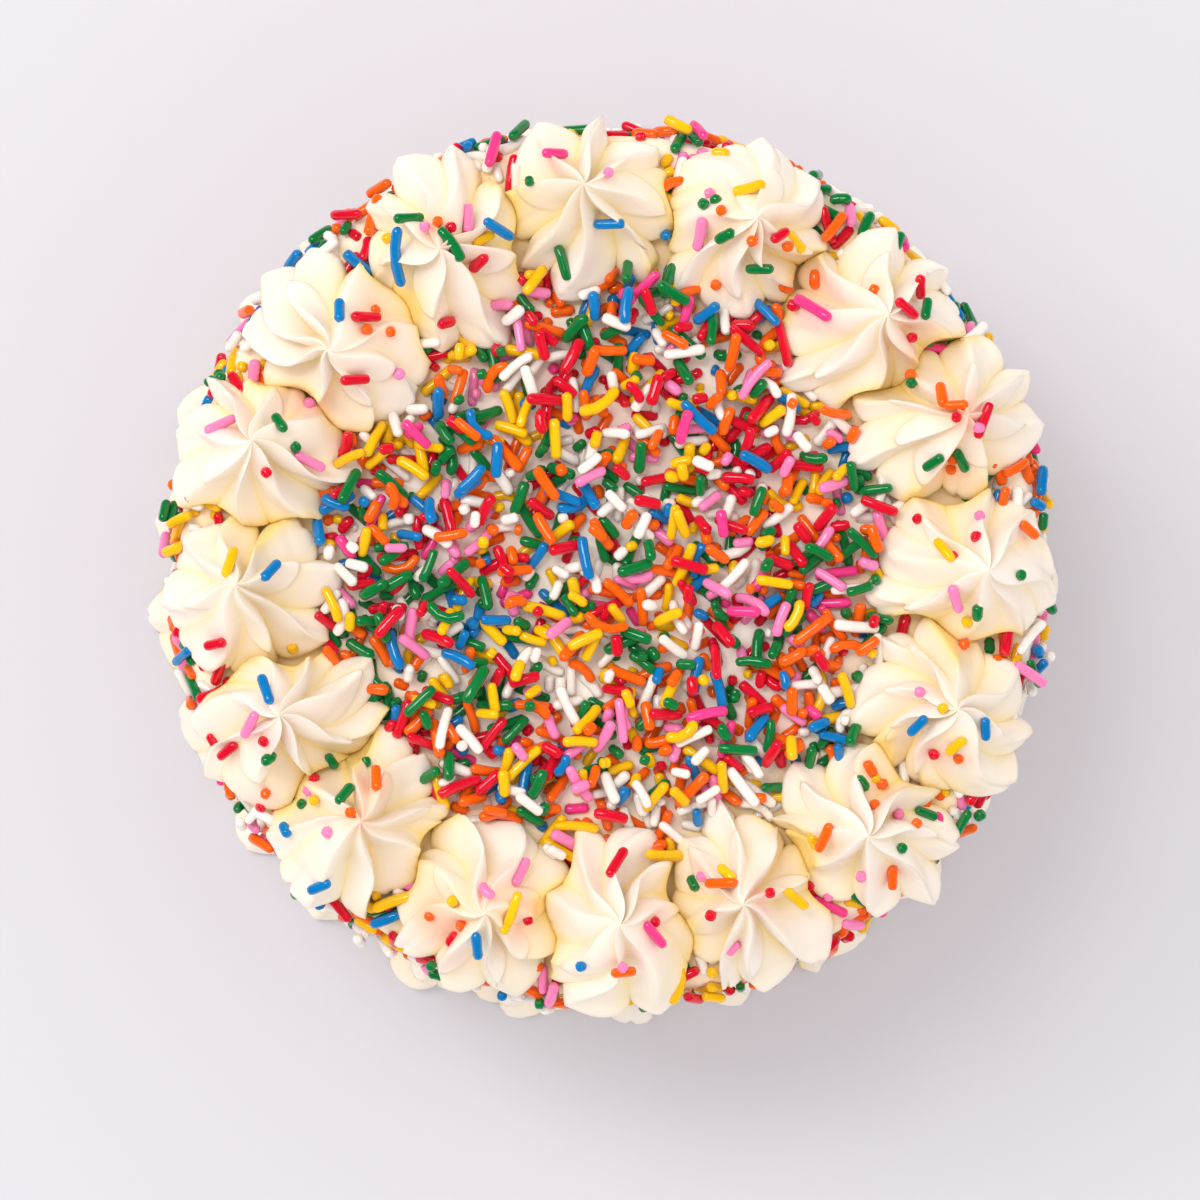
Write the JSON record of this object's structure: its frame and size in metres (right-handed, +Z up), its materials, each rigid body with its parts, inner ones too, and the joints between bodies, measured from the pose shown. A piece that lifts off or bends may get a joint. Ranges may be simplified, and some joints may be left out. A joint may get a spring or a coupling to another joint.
{
  "type": "frosted cake",
  "caption": "Round cake in ivory buttercream, topped with rainbow sugar sprinkles inside a ring of piped swirls, with sprinkled sides and a piped border at its foot.",
  "frame": {"origin": "the middle of the cake's flat underside, on the surface it stands on", "axes": "+Z up, +Y to the back, which is the top of the reference picture, +X to the right"},
  "size_m": [0.1774, 0.1755, 0.1118],
  "materials": {
    "frosting": "smooth soft buttercream, satin",
    "piped_cream": "piped buttercream with sharp creases, satin",
    "border_cream": "piped buttercream, satin",
    "sprinkles": "glossy sugar in eight colours"
  },
  "bodies": {
    "root": {"cake_body": "frosting", "top_swirl_01": "piped_cream", "top_swirl_02": "piped_cream", "top_swirl_03": "piped_cream", "top_swirl_04": "piped_cream", "top_swirl_05": "piped_cream", "top_swirl_06": "piped_cream", "top_swirl_07": "piped_cream", "top_swirl_08": "piped_cream", "top_swirl_09": "piped_cream", "top_swirl_10": "piped_cream", "top_swirl_11": "piped_cream", "top_swirl_12": "piped_cream", "top_swirl_13": "piped_cream", "top_swirl_14": "piped_cream", "top_swirl_15": "piped_cream", "top_swirl_16": "piped_cream", "base_swirl_01": "border_cream", "base_swirl_02": "border_cream", "base_swirl_03": "border_cream", "base_swirl_04": "border_cream", "base_swirl_05": "border_cream", "base_swirl_06": "border_cream", "base_swirl_07": "border_cream", "base_swirl_08": "border_cream", "base_swirl_09": "border_cream", "base_swirl_10": "border_cream", "base_swirl_11": "border_cream", "base_swirl_12": "border_cream", "base_swirl_13": "border_cream", "base_swirl_14": "border_cream", "base_swirl_15": "border_cream", "base_swirl_16": "border_cream", "base_swirl_17": "border_cream", "base_swirl_18": "border_cream", "base_swirl_19": "border_cream", "base_swirl_20": "border_cream", "base_swirl_21": "border_cream", "base_swirl_22": "border_cream", "base_swirl_23": "border_cream", "base_swirl_24": "border_cream", "base_swirl_25": "border_cream"}
  },
  "joints": []
}
